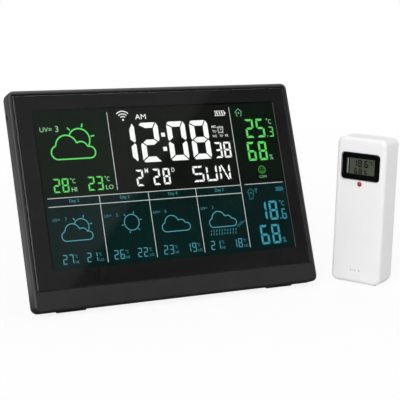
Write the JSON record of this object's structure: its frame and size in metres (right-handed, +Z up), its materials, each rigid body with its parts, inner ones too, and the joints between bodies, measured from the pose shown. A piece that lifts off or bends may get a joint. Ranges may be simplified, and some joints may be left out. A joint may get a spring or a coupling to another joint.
{
  "type": "home weather station",
  "caption": "Desk weather console with a wide dark display, fold-out stand and rear keys, with a slim upright white outdoor sensor that has its own small display.",
  "frame": {"origin": "bottom centre of the box round the console and the sensor, on the surface they stand on", "axes": "+Z up; +X to the right along the console as seen from its front; the console faces -Y and leans back; the sensor stands to the right of it, turned"},
  "size_m": [0.2566, 0.0922, 0.1325],
  "materials": {
    "case_black": "fine satin moulded black, soft highlights on the rounded edges",
    "case_rear_black": "fine spark-eroded texture, dark grey black",
    "key_black": "smooth satin black keys",
    "window_glass": "clear glossy window with a black printed border and a polished bevel",
    "lcd_glass": "negative display glass, near black, with lit green, white and blue segments",
    "lcd_grey": "reflective grey-green display glass with dark segments",
    "light_guide": "white light guide frame",
    "flex_amber": "amber flexible circuit",
    "board_green": "green solder mask",
    "module_tin": "tinned shield",
    "part_black": "black moulded component",
    "silicone_grey": "grey silicone",
    "rubber_dark": "dark rubber, matt",
    "steel_plated": "nickel plated spring steel and screws",
    "cell_sleeve": "plain printed sleeve over a steel can",
    "sensor_white": "white satin moulded plastic",
    "led_red": "clear red lens"
  },
  "bodies": {
    "console": {"front_case": "case_black", "display_window": "window_glass", "lcd_panel": "lcd_glass", "backlight_panel": "light_guide", "lcd_ribbon": "flex_amber", "main_board": "board_green", "wifi_module": "module_tin", "dc_jack": "part_black", "buzzer": "part_black", "indoor_sensor": "module_tin", "keypad_left": "silicone_grey", "keypad_right": "silicone_grey", "snooze_switch": "part_black", "rear_case": "case_rear_black", "stand_pin": "steel_plated", "console_cell_1": "cell_sleeve", "console_cell_2": "cell_sleeve", "console_cell_3": "cell_sleeve", "contact_plus": "steel_plated", "contact_minus": "steel_plated", "contact_bridge_left": "steel_plated", "contact_bridge_right": "steel_plated", "contact_spring_1": "steel_plated", "contact_spring_2": "steel_plated", "contact_spring_3": "steel_plated", "case_screw_1": "steel_plated", "case_screw_2": "steel_plated", "case_screw_3": "steel_plated", "case_screw_4": "steel_plated", "foot_left": "rubber_dark", "foot_right": "rubber_dark"},
    "stand": {"stand_leg": "case_rear_black", "stand_pad": "rubber_dark"},
    "battery_door": {"battery_door": "case_rear_black"},
    "snooze_key": {"snooze_key": "key_black"},
    "key_mode": {"key_mode": "key_black"},
    "key_up": {"key_up": "key_black"},
    "key_down": {"key_down": "key_black"},
    "key_alarm": {"key_alarm": "key_black"},
    "key_channel": {"key_channel": "key_black"},
    "key_wifi": {"key_wifi": "key_black"},
    "sensor": {"sensor_front_case": "sensor_white", "sensor_window": "window_glass", "sensor_lcd": "lcd_grey", "led_lens": "led_red", "sensor_board": "board_green", "sensor_rear_case": "sensor_white", "sensor_cell_1": "cell_sleeve", "sensor_cell_2": "cell_sleeve", "sensor_spring_1": "steel_plated", "sensor_spring_2": "steel_plated", "sensor_contact_bridge": "steel_plated", "sensor_contact_minus": "steel_plated", "sensor_contact_plus": "steel_plated", "sensor_screw_1": "steel_plated", "sensor_screw_2": "steel_plated"},
    "sensor_battery_door": {"sensor_battery_door": "sensor_white"},
    "channel_switch": {"channel_switch": "part_black"},
    "unit_button": {"unit_button": "part_black"},
    "test_button": {"test_button": "part_black"}
  },
  "joints": [
    {"name": "stand_fold", "type": "hinge", "parent": "console", "child": "stand", "pos_m": [-0.02729, 0.01585, 0.05355], "axis": [-1, 0, 0], "range_deg": [0, 50.17]},
    {"name": "battery_door_slide", "type": "slide", "parent": "console", "child": "battery_door", "axis": [0, 0.3774, 0.9261], "range_m": [0, 0.055]},
    {"name": "key_mode_press", "type": "slide", "parent": "console", "child": "key_mode", "axis": [0, -0.9261, 0.3774], "range_m": [0, 0.0008], "stiffness_N_per_m": 600, "springref_m": -0.0004},
    {"name": "key_up_press", "type": "slide", "parent": "console", "child": "key_up", "axis": [0, -0.9261, 0.3774], "range_m": [0, 0.0008], "stiffness_N_per_m": 600, "springref_m": -0.0004},
    {"name": "key_down_press", "type": "slide", "parent": "console", "child": "key_down", "axis": [0, -0.9261, 0.3774], "range_m": [0, 0.0008], "stiffness_N_per_m": 600, "springref_m": -0.0004},
    {"name": "key_alarm_press", "type": "slide", "parent": "console", "child": "key_alarm", "axis": [0, -0.9261, 0.3774], "range_m": [0, 0.0008], "stiffness_N_per_m": 600, "springref_m": -0.0004},
    {"name": "key_channel_press", "type": "slide", "parent": "console", "child": "key_channel", "axis": [0, -0.9261, 0.3774], "range_m": [0, 0.0008], "stiffness_N_per_m": 600, "springref_m": -0.0004},
    {"name": "key_wifi_press", "type": "slide", "parent": "console", "child": "key_wifi", "axis": [0, -0.9261, 0.3774], "range_m": [0, 0.0008], "stiffness_N_per_m": 600, "springref_m": -0.0004},
    {"name": "snooze_key_press", "type": "slide", "parent": "console", "child": "snooze_key", "axis": [0, -0.3774, -0.9261], "range_m": [0, 0.0008], "stiffness_N_per_m": 800, "springref_m": -0.0005},
    {"name": "sensor_lift", "type": "slide", "parent": "console", "child": "sensor", "axis": [0, 0, 1], "range_m": [0, 0.3]},
    {"name": "sensor_door_slide", "type": "slide", "parent": "sensor", "child": "sensor_battery_door", "axis": [0, 0, -1], "range_m": [0, 0.09]},
    {"name": "channel_switch_slide", "type": "slide", "parent": "sensor", "child": "channel_switch", "axis": [0.4911, -0.8711, 0], "range_m": [-0.002, 0.002]},
    {"name": "unit_button_press", "type": "slide", "parent": "sensor", "child": "unit_button", "axis": [-0.8711, -0.4911, 0], "range_m": [0, 0.0006], "stiffness_N_per_m": 500, "springref_m": -0.0003},
    {"name": "test_button_press", "type": "slide", "parent": "sensor", "child": "test_button", "axis": [-0.8711, -0.4911, 0], "range_m": [0, 0.0006], "stiffness_N_per_m": 500, "springref_m": -0.0003}
  ]
}
